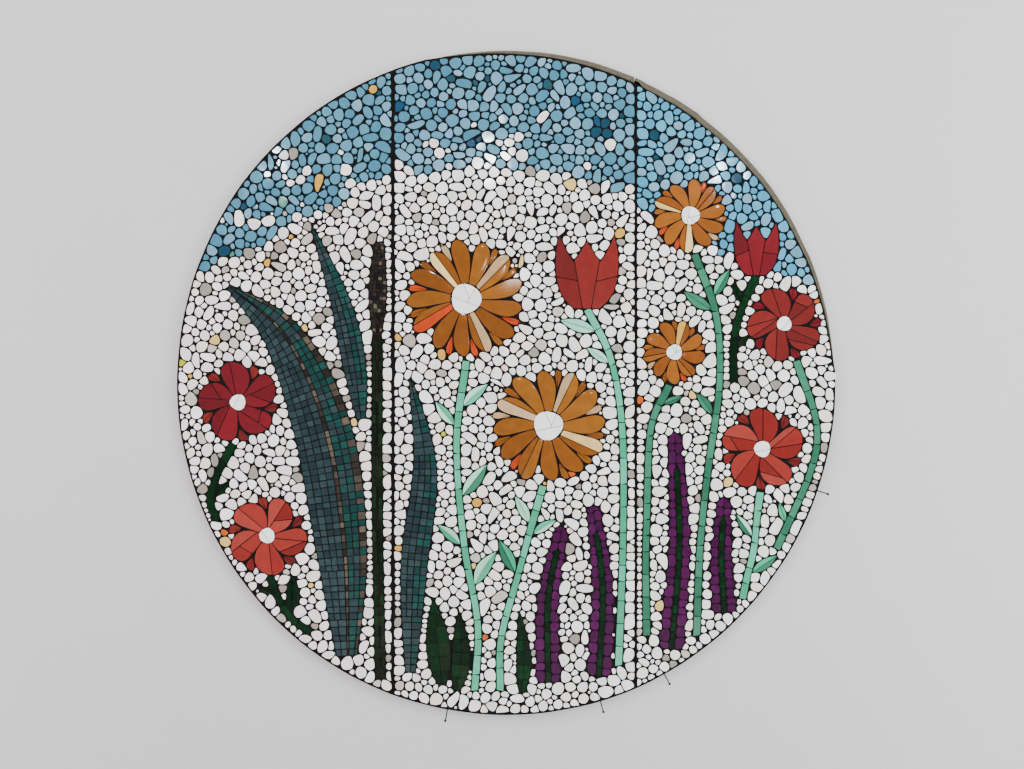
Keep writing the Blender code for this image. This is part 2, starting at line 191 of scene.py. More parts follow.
def edge_at(angle, inset):
    return (half_width - inset) * np.cos(angle) + 1j * (half_height - inset) * np.sin(angle)


def skyline(x):
    """Height of the crest where the sky meets the white field."""
    return skyline_base + skyline_rise * math.exp(-abs((x - skyline_middle) / skyline_spread) ** 3)


def spot(board, across, up):
    """Place on a board: share of the way across it, and height as a share of the half height."""
    low, high = boards[board]
    return complex(low + (high - low) * across, half_height * up)


def board_at(point):
    """Board on which a place lies."""
    return "left" if point.real < left_seam else "middle" if point.real < right_seam else "right"


def around(centre, radius, angle):
    return centre + cmath.rect(radius, angle)


def area(outline):
    """Signed area inside an outline, positive where it runs anticlockwise."""
    return sum((a.conjugate() * b).imag for a, b in zip(outline, outline[1:] + outline[:1])) / 2


def middle_of(outline):
    return sum(outline) / len(outline)


def grown(outline, distance):
    """The outline moved outwards by a distance, which may depend on the place and be negative."""
    moved = []
    for i, point in enumerate(outline):
        before = point - outline[i - 1]
        after = outline[(i + 1) % len(outline)] - point
        before /= abs(before) + 1e-12
        after /= abs(after) + 1e-12
        normal = -1j * (before + after)
        cosine = (before.conjugate() * after).real
        reach = distance(point) if callable(distance) else distance
        mitre = math.sqrt(max((1 + cosine) / 2, 0.2))
        moved.append(point + normal / (abs(normal) + 1e-12) * reach / mitre)
    return moved


def cut(outline, through, way, gap=0.0):
    """The part of an outline to the left of a line, kept a gap away from the line."""
    normal = 1j * way / abs(way)
    sides = [((p - through) * normal.conjugate()).real - gap for p in outline]
    kept = []
    for i, point in enumerate(outline):
        if (sides[i] > 0) != (sides[i - 1] > 0):
            share = sides[i - 1] / (sides[i - 1] - sides[i])
            kept.append(outline[i - 1] + (point - outline[i - 1]) * share)
        if sides[i] > 0:
            kept.append(point)
    return kept


def split(outline, through, way, gap):
    """Both parts of an outline, either side of a line."""
    parts = cut(outline, through, way, gap), cut(outline, through, -way, gap)
    return [part for part in parts if len(part) > 2]


def rounded(outline, radius, sharp=0.35):
    """The outline with each corner cut back by up to a radius."""
    soft = []
    for i, point in enumerate(outline):
        before = outline[i - 1] - point
        after = outline[(i + 1) % len(outline)] - point
        if abs(before) < 1e-7 or abs(after) < 1e-7:
            continue
        if abs(cmath.phase(-after / before)) < sharp:
            soft.append(point)
            continue
        for side in (before, after):
            soft.append(point + side / abs(side) * min(radius, 0.36 * abs(side)))
    return soft


def even(outline, count):
    """The outline with its points spaced evenly."""
    ring = outline + outline[:1]
    steps = [abs(b - a) for a, b in zip(ring, ring[1:])]
    total = sum(steps)
    points = []
    k = 0
    passed = 0.0
    for i in range(count):
        goal = total * i / count
        while passed + steps[k] < goal:
            passed += steps[k]
            k += 1
        points.append(ring[k] + (ring[k + 1] - ring[k]) * (goal - passed) / max(steps[k], 1e-12))
    return points


def smooth_route(points, count):
    """Points along a smooth curve through the route's own points."""
    ends = [points[0] * 2 - points[1]] + points + [points[-1] * 2 - points[-2]]
    route = []
    for i in range(count + 1):
        place = i / count * (len(points) - 1)
        k = min(int(place), len(points) - 2)
        t = place - k
        a, b, c, d = ends[k:k + 4]
        route.append(0.5 * (2 * b + (c - a) * t + (2 * a - 5 * b + 4 * c - d) * t ** 2
                            + (3 * b - a - 3 * c + d) * t ** 3))
    return route


def stations(points, step, jitter=0.0):
    """Places along a smooth route about a step apart: each is (share of its points, place, direction)."""
    fine = smooth_route(points, curve_points)
    run = np.concatenate([[0], np.cumsum(np.abs(np.diff(fine)))])
    count = max(2, round(run[-1] / step))
    goals = [run[-1] * (i + (rng.uniform(-jitter, jitter) if 0 < i < count else 0)) / count
             for i in range(count + 1)]
    found = []
    for goal in goals:
        k = min(max(int(np.searchsorted(run, goal)), 1), curve_points - 1)
        way = fine[k + 1] - fine[k - 1]
        step = (fine[k] - fine[k - 1]) * (goal - run[k - 1]) / (run[k] - run[k - 1])
        found.append((k / curve_points, fine[k - 1] + step, way / abs(way)))
    return found


# Colours of the glazes, as shares of red, green and blue light that they send back

palette = {
    "white": [(0.80, 0.77, 0.75), (0.73, 0.71, 0.69), (0.88, 0.85, 0.84)],
    "warm_white": [(0.80, 0.72, 0.68), (0.84, 0.74, 0.71)],
    "taupe": [(0.26, 0.22, 0.19), (0.34, 0.30, 0.27), (0.44, 0.41, 0.38), (0.22, 0.21, 0.18)],
    "sky": [(0.056, 0.190, 0.272), (0.044, 0.164, 0.250), (0.070, 0.216, 0.305)],
    "pale_sky": [(0.125, 0.270, 0.390), (0.105, 0.250, 0.350), (0.150, 0.300, 0.400)],
    "bright_sky": [(0.060, 0.270, 0.410), (0.048, 0.235, 0.370), (0.080, 0.300, 0.440)],
    "petrol": [(0.004, 0.036, 0.066), (0.008, 0.050, 0.072), (0.003, 0.044, 0.090)],
    "sea": [(0.050, 0.200, 0.150), (0.030, 0.150, 0.120)],
    "gold": [(0.52, 0.28, 0.045), (0.60, 0.42, 0.14)],
    "cream": [(0.72, 0.52, 0.22), (0.60, 0.40, 0.16)],
    "tan": [(0.40, 0.26, 0.13), (0.46, 0.31, 0.17)],
    "accent": [(0.42, 0.075, 0.004), (0.36, 0.40, 0.02), (0.80, 0.56, 0.50)],
    "ochre": [(0.195, 0.062, 0.004), (0.175, 0.052, 0.003), (0.220, 0.074, 0.005), (0.150, 0.043, 0.003)],
    "orange": [(0.205, 0.058, 0.005), (0.180, 0.048, 0.004), (0.235, 0.072, 0.006)],
    "hot_orange": [(0.38, 0.036, 0.002)],
    "red": [(0.125, 0.008, 0.007), (0.155, 0.011, 0.009), (0.100, 0.006, 0.006)],
    "coral": [(0.225, 0.020, 0.014), (0.190, 0.013, 0.010), (0.255, 0.030, 0.021), (0.150, 0.008, 0.006)],
    "dark_red": [(0.110, 0.002, 0.007), (0.090, 0.001, 0.005), (0.135, 0.003, 0.008)],
    "centre": [(0.86, 0.85, 0.86), (0.80, 0.80, 0.81)],
    "pale_mint": [(0.30, 0.62, 0.47), (0.24, 0.56, 0.42), (0.36, 0.66, 0.52)],
    "mint": [(0.050, 0.330, 0.200), (0.070, 0.380, 0.245), (0.032, 0.270, 0.160)],
    "green": [(0.022, 0.140, 0.080), (0.015, 0.112, 0.062), (0.030, 0.165, 0.098)],
    "dark_green": [(0.0010, 0.0160, 0.0042), (0.0016, 0.0225, 0.0060), (0.0008, 0.0110, 0.0032)],
    "purple": [(0.050, 0.0022, 0.042), (0.060, 0.0030, 0.050), (0.040, 0.0018, 0.034)],
    "slate": [(0.015, 0.033, 0.038), (0.011, 0.026, 0.031), (0.020, 0.040, 0.044), (0.008, 0.020, 0.024)],
    "emerald": [(0.003, 0.037, 0.032), (0.002, 0.029, 0.026), (0.005, 0.046, 0.040)],
    "brown": [(0.022, 0.017, 0.013), (0.050, 0.041, 0.030), (0.012, 0.009, 0.007), (0.085, 0.068, 0.048)],
    "bark": [(0.009, 0.006, 0.005), (0.014, 0.010, 0.008), (0.005, 0.004, 0.004)],
    "moss": [(0.004, 0.013, 0.004), (0.003, 0.009, 0.003), (0.006, 0.020, 0.006)],
}


def shade(name):
    """A colour of the palette, with a small change of its own."""
    gain = rng.uniform(0.93, 1.05)
    return tuple(gain * share for share in rng.choice(palette[name]))


# Tiles of the picture: each node of the model has its list of (outline, colour), and its glaze

picture = {}
glaze_of = {}
flowers = {
    "daisy_high": (("middle", 0.300, 0.250), 0.185),
    "daisy_low": (("middle", 0.640, -0.130), 0.180),
    "daisy_sky": (("right", 0.270, 0.500), 0.115),
    "daisy_side": (("right", 0.190, 0.090), 0.098),
    "blossom_far_left": (("left", 0.285, -0.060), 0.125),
    "blossom_low_left": (("left", 0.420, -0.460), 0.122),
    "blossom_far_right": (("right", 0.740, 0.175), 0.115),
    "blossom_low_right": (("right", 0.630, -0.200), 0.128),
    "tulip_middle": (("middle", 0.800, 0.330), 0.110),
    "tulip_right": (("right", 0.600, 0.400), 0.080),
}


def flower_at(name):
    """Centre and radius of a flower."""
    place, size = flowers[name]
    return spot(*place), size * unit


def lay(node, outline, colour, corner=0.0016):
    """One cut tile of the picture, with its corners softened."""
    if len(outline) < 3 or abs(area(outline)) < smallest_cut_tile:
        return
    if area(outline) < 0:
        outline = outline[::-1]
    outline = rounded(rounded(outline, corner), corner * 0.45, 0.6)
    picture.setdefault(node, []).append((outline, shade(colour)))


def petal(centre, radius, middle, pitch, inner, profile, sway):
    """Outline of one petal: profile gives its half angle as a share of the pitch along its length."""
    sides = {1: [], -1: []}
    width = rng.uniform(0.90, 1.0)
    for share, swing in profile:
        reach = (inner + (1 - inner) * share) * radius
        lean = middle + sway * share ** 2
        half = max(pitch * swing * (1 - (1 - width) * share) - picture_joint / 2 / reach, 0.0)
        for side, outline in sides.items():
            outline.append(around(centre, reach, lean + side * half))
    return sides[-1] + sides[1][::-1]


daisy_profile = ((0.0, 0.50), (0.10, 0.50), (0.24, 0.49), (0.40, 0.47), (0.54, 0.45), (0.66, 0.42),
                 (0.77, 0.37), (0.86, 0.30), (0.93, 0.215), (0.98, 0.11), (1.0, 0.03))
blossom_profile = ((0.0, 0.50), (0.14, 0.50), (0.32, 0.485), (0.50, 0.455), (0.66, 0.41), (0.79, 0.345),
                   (0.89, 0.265), (0.96, 0.165), (1.0, 0.05))


def lay_centre(node, centre, radius, parts):
    """White heart of a flower, cut from a disc into a few pieces with hair joints."""
    glaze_of[node] = "centre"
    ring = [around(centre, radius * (1 + 0.05 * math.sin(3 * a + radius * 900)), a)
            for a in np.linspace(0, math.tau, 26, endpoint=False)]
    turn = rng.uniform(0, math.pi)
    pieces = [ring]
    for k in range(parts - 1):
        turn += rng.uniform(0.8, 1.5)
        through = around(centre, radius * 0.22, turn + 1.2)
        largest = max(range(len(pieces)), key=lambda n: abs(area(pieces[n])))
        pieces += split(pieces.pop(largest), through, cmath.rect(1, turn), hair_joint / 2)
    for piece in pieces:
        lay(node, piece, "centre", 0.0008)


def lay_between(node, centre, radius, middle, pitch, tones):
    """Small pointed tile in the gap between two petals."""
    outline = []
    for share, swing in ((0.66, 0.02), (0.76, 0.085), (0.86, 0.125), (0.94, 0.08)):
        lean = middle + petal_sway * pitch * share ** 2
        outline.append(around(centre, radius * share, lean - swing * pitch))
        outline.insert(0, around(centre, radius * share, lean + swing * pitch))
    tip = around(centre, radius * rng.uniform(0.96, 1.0), middle + petal_sway * pitch)
    outline.insert(4, tip)
    lay(node, outline[::-1], rng.choice(tones), 0.0008)


def lay_daisy(name, petals, turn, look, extras):
    """Ring of long petals; some are cut lengthwise, and some are of another colour."""
    centre, radius = flower_at(name)
    pitch = math.tau / petals
    node = name + "_petals"
    glaze_of[node] = look
    for i in range(petals):
        middle = turn + i * pitch
        length = radius * rng.uniform(0.92, 1.0)
        sway = pitch * (petal_sway + rng.uniform(-0.05, 0.05))
        outline = petal(centre, length, middle, pitch, daisy_root, daisy_profile, sway)
        axis = cmath.rect(1, middle + sway * 0.9)
        colour = extras.get(i, look)
        if i % 3 == 1:
            swing = petal_sway * 0.36 + rng.uniform(-0.12, 0.12)
            through = around(centre, radius * 0.6, middle + swing * pitch)
            left, right = split(outline, through, axis, picture_joint / 2)
            lay(node, left, colour)
            lay(node, right, look)
        else:
            lay(node, outline, colour)
        if i % 5 != 2:
            tones = (look, "tan", "hot_orange", look)
            lay_between(node, centre, radius, middle + pitch / 2, pitch, tones)
    lay_centre(name + "_centre", centre, daisy_heart * radius - hair_joint, 4)


def lay_blossom(name, turn, look, under):
    """Ring of five broad petals, each cut into two or three tiles."""
    centre, radius = flower_at(name)
    pitch = math.tau / 5
    node = name + "_petals"
    glaze_of[node] = look
    for i in range(5):
        middle = turn + i * pitch
        sway = pitch * (petal_sway + rng.uniform(-0.04, 0.04))
        length = radius * rng.uniform(0.96, 1.0)
        outline = petal(centre, length, middle, pitch, blossom_root, blossom_profile, sway)
        swing = (petal_sway * 0.4 + rng.uniform(-0.10, 0.10)) * pitch
        parts = split(outline, around(centre, radius * 0.62, middle + swing),
                      cmath.rect(1, middle + sway + rng.uniform(-0.20, 0.20)), picture_joint / 2)
        if i % 2 == 0:
            widest = max(parts, key=lambda part: abs(area(part)))
            parts.remove(widest)
            across = cmath.rect(1, middle + rng.choice((-1, 1)) * rng.uniform(0.5, 0.9))
            parts += split(widest, middle_of(widest), across, picture_joint / 2)
        for part in parts:
            lay(node, part, look)
        lay_between(node, centre, radius, middle + pitch / 2, pitch * 0.8, (under,))
    lay_centre(name + "_centre", centre, blossom_heart * radius - hair_joint, 2)


tulip_half = ((0.0, 0.42), (0.06, 0.34), (0.14, 0.22), (0.22, 0.14), (0.32, 0.28), (0.44, 0.50),
              (0.49, 0.30), (0.50, 0.10), (0.48, -0.10), (0.42, -0.28), (0.32, -0.41), (0.20, -0.50))


def lay_tulip(node, width, look):
    """Cup of a tulip, cut into a middle petal and four side tiles."""
    place, size = flowers[node]
    glaze_of[node] = look
    centre, height = spot(*place), 2 * size
    right = [centre + complex(x * width, y * height) * unit for x, y in tulip_half]
    left = [centre + complex(-x * width, y * height) * unit for x, y in tulip_half[:0:-1]]
    left_line = centre + complex(-0.19 * width, 0.10 * height) * unit
    right_line = centre + complex(0.19 * width, 0.10 * height) * unit
    cup = right + left
    lean = complex(0.20 * width, -height)
    side_left, rest = split(cup, left_line, lean, picture_joint / 2)[::-1]
    middle, side_right = split(rest, right_line, lean.conjugate() * -1, picture_joint / 2)[::-1]
    for part in (side_left, side_right):
        low = middle_of(part) - 0.06j * height * unit
        for half in split(part, low, complex(1, rng.uniform(-0.5, 0.5)), picture_joint / 2):
            lay(node, half, look)
    lay(node, middle, look)


leaf_tones = {"mint": ("pale_mint", "pale_mint", "mint", "green"), "green": ("green", "mint", "green"),
              "dark_green": ("dark_green", "moss")}


def lay_leaf(node, root, lean, length, belly, look):
    """Leaf cut along its middle line into two halves, often of two tones."""
    side = 1j * lean
    bend = rng.uniform(-0.05, 0.05)
    for hand in (1, -1):
        tone = rng.choice(leaf_tones[look])
        outer, inner = [], []
        for t in (0.0, 0.12, 0.26, 0.42, 0.58, 0.74, 0.88, 1.0):
            spine = root + lean * length * t + side * length * bend * math.sin(math.pi * t)
            half = max(belly * length * math.sin(math.pi * t ** 0.85) ** 0.9, 0.0)
            inner.append(spine + side * hand * hair_joint / 2)
            if half > hair_joint:
                outer.append(spine + side * hand * half)
        lay(node, inner + outer[::-1], tone, 0.0006)


def lay_stem(bearing, board, route, lean, look, *leaves):
    """Stem with its leaves, up to the flower it bears, lean degrees from the flower's lowest point."""
    centre, radius = flower_at(bearing)
    node = "stem_" + bearing.replace("blossom_", "")
    glaze_of[node] = look
    hang = cmath.rect(1, math.radians(lean - 90))
    top = centre + hang * (radius + picture_joint)
    points = [spot(board, *step) for step in route] + [top]
    marks = stations(points, stem_step)
    lay_lengths(node, marks, top, hang, look)
    coarse = smooth_route(points, leaf_places)
    for share, side, length in leaves:
        k = int(share * leaf_places)
        step = coarse[k + 1] - coarse[k]
        beside = coarse[k] + step * (share * leaf_places - k)
        way = step / abs(step)
        nearest = min(marks, key=lambda mark: abs(mark[1] - beside))
        out = way * leaf_lean + 1j * way * side
        root = nearest[1] + 1j * way * side * (stem_half + picture_joint)
        lay_leaf(node, root, out / abs(out), length * unit - picture_joint, leaf_belly, look)


def pieces_along(last, steps):
    """Start and end of the pieces along a row of marks, each a few marks long, with no stub at its end."""
    start = 0
    while start < last:
        end = min(start + rng.choice(steps), last)
        if last - end < shortest_piece:
            end = last
        yield start, end
        start = end


def lay_lengths(node, marks, top, hang, look):
    """The lengths of one stem, a little wavy, up to a cut square to the flower."""
    half = stem_half
    for start, end in pieces_along(len(marks) - 1, length_steps):
        run = marks[start:end + 1]
        left = [p + 1j * w * half * (1 + stem_wave * math.sin(9 * t + half * t)) for t, p, w in run]
        right = [p - 1j * w * half * (1 + stem_wave * math.cos(13 * t)) for t, p, w in run]
        slant = rng.uniform(-stem_slant, stem_slant)
        left[0] += run[0][2] * (picture_joint / 2 + slant)
        right[0] += run[0][2] * (picture_joint / 2 - slant)
        left[-1] -= run[-1][2] * picture_joint / 2
        right[-1] -= run[-1][2] * picture_joint / 2
        lay(node, cut(right + left[::-1], top, 1j * hang * -1), look, 0.001)


def lay_rows(node, glaze_name, board, route, half_at, row, lane, bands, joint=row_joint):
    """Rows of small tiles along a route, in bands of (share across it from, to, colours)."""
    glaze_of[node] = glaze_name
    marks = stations([spot(board, *place) for place in route], row, row_jitter)
    for (t0, p0, w0), (t1, p1, w1) in zip(marks, marks[1:]):
        h0, h1 = half_at(t0), half_at(t1)
        if h0 + h1 < smallest_row:
            continue
        for low, high, colours in bands:
            width = (high - low) * (h0 + h1)
            if width < smallest_lane:
                continue
            count = max(1, round(width / lane))
            for i in range(count):
                a = -1 + 2 * (low + (high - low) * i / count)
                b = -1 + 2 * (low + (high - low) * (i + 1) / count)
                outline = [p0 - 1j * w0 * h0 * a, p1 - 1j * w1 * h1 * a,
                           p1 - 1j * w1 * h1 * b, p0 - 1j * w0 * h0 * b]
                outline = [p + complex(rng.gauss(0, hand_slip), rng.gauss(0, hand_slip)) for p in outline]
                if area(outline) < 0:
                    outline = outline[::-1]
                small = grown(outline, -joint / 2)
                if area(small) > smallest_tessera:
                    lay(node, small, rng.choice(colours), 0.0007)


def blade_half(widest):
    """Half width of a grass blade along its length."""
    return lambda t: unit * max(widest * math.sin(math.pi * (0.10 + 0.90 * t)) ** 0.9, 0.0008)


def floret(fine, ways, side, start, end, tip):
    """Outline of one floret at a side of a spike, whose own stem ends at its tip."""
    last = len(fine) - 1
    inner, outer = [], []
    for i in (start, (start + end) // 2, end):
        closing = spike_core_half + hair_joint if i < tip else hair_joint / 2
        half = spike_half * (1 - 0.5 * (i / last) ** 2)
        half *= 0.70 + 0.30 * math.sin(math.pi * (i % lobe_steps) / lobe_steps) ** 0.7
        swell = max(half * rng.uniform(0.94, 1.0), spike_core_half + 0.002)
        inner.append(fine[i] + 1j * ways[i] * side * closing)
        outer.append(fine[i] + 1j * ways[i] * side * swell)
    if end == last:
        outer[-1] = fine[last] + 1j * ways[last] * side * hair_joint
    for edge in (inner, outer):
        edge[0] += ways[start] * (picture_joint * floret_joint)
        edge[-1] -= ways[end] * (picture_joint * floret_joint)
    return inner + outer[::-1]


def lay_spike(name, board, route, lobes):
    """Flower spike: two rows of florets either side of a stem of short lengths."""
    glaze_of[name + "_florets"] = "purple"
    glaze_of[name + "_stem"] = "dark_green"
    fine = smooth_route([spot(board, *place) for place in route], lobes * lobe_steps)
    last = len(fine) - 1
    tip = round(spike_core_end * last)
    ways = [fine[min(i + 1, last)] - fine[max(i - 1, 0)] for i in range(last + 1)]
    ways = [way / abs(way) for way in ways]
    for side in (1, -1):
        for start, end in pieces_along(last, floret_steps):
            lay(name + "_florets", floret(fine, ways, side, start, end, tip), "purple", floret_corner)
    for start in range(0, tip - 3, 5):
        end = min(start + 5, tip)
        outline = [fine[i] + 1j * ways[i] * spike_core_half * 0.9 for i in range(start, end + 1)]
        outline += [fine[i] - 1j * ways[i] * spike_core_half * 0.9 for i in range(end, start - 1, -1)]
        lay(name + "_stem", grown(outline[::-1], -hair_joint / 2), "dark_green", 0.0008)


def lay_flowers():
    """Daisies, blossoms and tulips."""
    lay_daisy("daisy_high", 13, 0.2, "ochre", {1: "tan", 4: "cream", 7: "hot_orange", 10: "tan"})
    lay_daisy("daisy_low", 12, 0.5, "ochre", {1: "tan", 4: "tan", 10: "cream"})
    lay_daisy("daisy_sky", 10, 0.1, "orange", {4: "gold", 7: "cream"})
    lay_daisy("daisy_side", 9, 0.4, "orange", {1: "gold"})
    lay_blossom("blossom_far_left", 0.3, "dark_red", "red")
    lay_blossom("blossom_low_left", 0.9, "coral", "red")
    lay_blossom("blossom_far_right", 0.5, "red", "dark_red")
    lay_blossom("blossom_low_right", 0.1, "coral", "red")
    lay_tulip("tulip_middle", 0.190, "red")
    lay_tulip("tulip_right", 0.135, "dark_red")


def lay_stems():
    """Stems with their leaves, up to the flowers that they bear."""
    lay_stem("blossom_far_left", "left", [(0.185, -0.415), (0.160, -0.330)], -7, "dark_green",
             (0.45, -1, 0.06))
    lay_stem("blossom_low_left", "left", [(0.620, -0.750), (0.510, -0.690)], 3, "dark_green",
             (0.45, -1, 0.11), (0.80, 1, 0.05))
    lay_stem("daisy_high", "middle", [(0.335, -0.925), (0.350, -0.728), (0.290, -0.485), (0.262, -0.182)],
             0, "mint", (0.38, -1, 0.12), (0.50, 1, 0.09), (0.62, -1, 0.12), (0.80, 1, 0.09),
             (0.86, -1, 0.10))
    lay_stem("daisy_low", "middle", [(0.440, -0.925), (0.450, -0.750), (0.530, -0.540)], -5, "mint",
             (0.62, 1, 0.11), (0.80, -1, 0.08), (0.84, 1, 0.09))
    lay_stem("tulip_middle", "middle", [(0.930, -0.850), (0.950, -0.500), (0.945, -0.150), (0.900, 0.070)],
             0, "mint", (0.74, 1, 0.08), (0.90, 1, 0.11))
    lay_stem("daisy_sky", "right", [(0.300, -0.760), (0.320, -0.500), (0.360, -0.250), (0.415, 0.000),
                                    (0.400, 0.200)],
             6, "green", (0.52, 1, 0.08), (0.82, 1, 0.10), (0.86, -1, 0.09))
    lay_stem("daisy_side", "right", [(0.050, -0.760), (0.050, -0.450), (0.070, -0.150)], -9, "green",
             (0.86, -1, 0.06))
    lay_stem("blossom_far_right", "right", [(0.700, -0.500), (0.865, -0.280), (0.900, -0.120)], 18, "green",
             (0.12, 1, 0.06))
    lay_stem("blossom_low_right", "right", [(0.530, -0.650), (0.585, -0.500)], -3, "mint",
             (0.30, -1, 0.09), (0.62, 1, 0.08))
    lay_stem("tulip_right", "right", [(0.485, 0.000), (0.500, 0.170)], 0, "dark_green",
             (0.30, -1, 0.05), (0.72, 1, 0.06))


def lay_spikes():
    """Flower spikes, each with its stem."""
    lay_spike("lavender_middle", "middle", [(0.640, -0.900), (0.640, -0.650), (0.700, -0.430)], 7)
    lay_spike("lavender_seam", "middle", [(0.850, -0.880), (0.865, -0.620), (0.825, -0.370)], 8)
    lay_spike("lavender_tall", "right", [(0.175, -0.800), (0.215, -0.480), (0.190, -0.150)], 10)
    lay_spike("lavender_right", "right", [(0.440, -0.690), (0.425, -0.520), (0.440, -0.345)], 6)


def lay_grasses():
    """Grass blades, the reed and the leaf tufts."""
    slate, emerald, brown = ("slate",), ("emerald", "emerald", "slate"), ("brown",)
    lay_rows("grass_blade_tall", "teal", "left",
             [(0.790, -0.820), (0.765, -0.500), (0.680, -0.150), (0.500, 0.130), (0.220, 0.300)],
             blade_half(0.088), 0.0175, 0.017,
             [(0.0, 0.52, slate), (0.52, 0.60, brown), (0.60, 0.86, emerald),
              (0.86, 1.0, ("emerald", "brown"))])
    lay_rows("grass_blade_upright", "teal", "left",
             [(0.855, -0.110), (0.825, 0.050), (0.760, 0.240), (0.620, 0.480)],
             blade_half(0.036), 0.017, 0.016, [(0.0, 0.5, slate), (0.5, 1.0, emerald)])
    lay_rows("grass_blade_short", "teal", "middle",
             [(0.070, -0.870), (0.085, -0.550), (0.130, -0.250), (0.065, 0.030)],
             blade_half(0.042), 0.0175, 0.017, [(0.0, 0.5, slate), (0.5, 1.0, ("slate", "emerald"))])
    moss, bark = ("moss",), ("bark",)
    lay_rows("reed_stalk", "dark_green", "left", [(0.945, -0.890), (0.930, -0.350), (0.930, 0.130)],
             lambda t: reed_half, 0.026, 0.012,
             [(0.0, 0.40, moss), (0.40, 0.62, bark), (0.62, 1.0, moss)], reed_joint)
    lay_rows("reed_head", "reed", "left", [(0.930, 0.140), (0.932, 0.270), (0.940, 0.420)],
             lambda t: reed_head_half * (0.45 + 0.55 * math.sin(math.pi * t)), 0.0095, 0.009,
             [(0.0, 1.0, ("bark", "bark", "brown"))], reed_joint)
    tufts = (("left", [(0.200, -0.905), (0.185, -0.790), (0.165, -0.650)], 0.036),
             ("middle", [(0.262, -0.925), (0.280, -0.820), (0.270, -0.690)], 0.028),
             ("right", [(0.530, -0.930), (0.540, -0.830), (0.520, -0.690)], 0.022))
    for name, route, widest in tufts:
        lay_rows("leaf_tuft_" + name, "dark_green", "middle", route, blade_half(widest), 0.034, 0.022,
                 [(0.0, 0.5, ("dark_green",)), (0.5, 1.0, ("dark_green", "moss"))], hair_joint)


# Free room for pebbles: distance to the nearest edge at each point of a fine map

columns = np.arange(-half_width, half_width, map_step)
rows = np.arange(-half_height, half_height, map_step)
places = columns[None, :] + 1j * rows[:, None]


def window(outline, reach):
    """Part of the map within a reach of an outline or a point."""
    reals = [p.real for p in outline]
    imags = [p.imag for p in outline]
    first_row, last_row = np.searchsorted(rows, (min(imags) - reach, max(imags) + reach))
    first_column, last_column = np.searchsorted(columns, (min(reals) - reach, max(reals) + reach))
    return slice(first_row, last_row), slice(first_column, last_column)


def distance_to(outline, spots):
    """Distance of spots from an outline, negative inside it."""
    start = np.array(outline)
    end = np.roll(start, -1)
    along = end - start
    away = spots[..., None] - start
    share = np.clip((away * along.conjugate()).real / np.maximum(np.abs(along) ** 2, 1e-18), 0, 1)
    nearest = np.abs(away - share * along).min(-1)
    straddles = (start.imag > spots.imag[..., None]) != (end.imag > spots.imag[..., None])
    climb = np.where(np.abs(along.imag) < 1e-15, 1e-15, along.imag)
    meets = start.real + (spots.imag[..., None] - start.imag) * along.real / climb
    inside = (straddles & (meets > spots.real[..., None])).sum(-1) % 2 == 1
    return np.where(inside, -nearest, nearest)


def take_room(distances, outline, part, joint):
    """Takes an outline and a joint around it off part of a map of clear distances."""
    near = distance_to(outline, places[part]) - joint
    distances[part] = np.minimum(distances[part], near)


def clear_map():
    """Distance at each point of the map from the rim, the seams and the picture's tiles."""
    angles = np.arctan2(places.imag / half_height, places.real / half_width)
    edge_inset = cut_wander(angles) + rim_at(angles) + edge_margin
    distances = np.abs(edge_at(angles, edge_inset)) - np.abs(places)
    for name, seam in seams.items():
        distances = np.minimum(distances, np.abs(places.real - seam) - seam_margin[name])
    for tiles in picture.values():
        for outline, _ in tiles:
            take_room(distances, outline, window(outline, map_reach), pebble_joint * 0.9)
    return distances


def uphill(heights):
    """Direction in which a map grows at each of its points."""
    up, across = np.gradient(heights)
    way = across + 1j * up
    return way / (np.abs(way) + 1e-12)


# Pebbles: one or two circles each, packed against the edges and each other, then grown into the gaps

chance = np.random.default_rng(7)
circles = []
pebbles = []


def cell_at(point):
    """Row and column of the map at a point."""
    row = min(max(round((point.imag - rows[0]) / map_step), 0), len(rows) - 1)
    column = min(max(round((point.real - columns[0]) / map_step), 0), len(columns) - 1)
    return row, column


def put_circle(centre, radius):
    """Places a circle and takes its room off the map."""
    part = window([centre], map_reach)
    room[part] = np.minimum(room[part], np.abs(places[part] - centre) - radius - pebble_joint)
    circles.append((centre, radius, len(pebbles)))


def put_pebble(cell, radius, long_share):
    """Places a round pebble, or a long one where a second circle beside the first still fits."""
    centre = complex(places[cell])
    ends = [(centre, radius)]
    if chance.random() < long_share:
        for _ in range(5):
            end = around(centre, radius * chance.uniform(0.8, 1.7), chance.uniform(0, math.tau))
            slim = radius * chance.uniform(0.75, 1.0)
            if room[cell_at(end)] >= slim:
                ends.append((end, slim))
                break
    first = len(circles)
    for end, size in ends:
        put_circle(end, size)
    pebbles.append(range(first, len(circles)))


def fill(low, high, snug, rounds, quota=None, long_share=0.0):
    """Places pebbles between two radii, over some rounds, where they come within snug of touching."""
    flat = room.reshape(-1)
    for _ in range(rounds):
        sizes = chance.uniform(low, high, flat.size)
        ready = np.flatnonzero((flat >= sizes) & (flat <= sizes + snug))
        chance.shuffle(ready)
        placed = 0
        for cell in ready:
            if flat[cell] >= sizes[cell]:
                put_pebble(divmod(int(cell), len(columns)), sizes[cell], long_share)
                placed += 1
                if placed == quota:
                    break
        if not placed:
            break


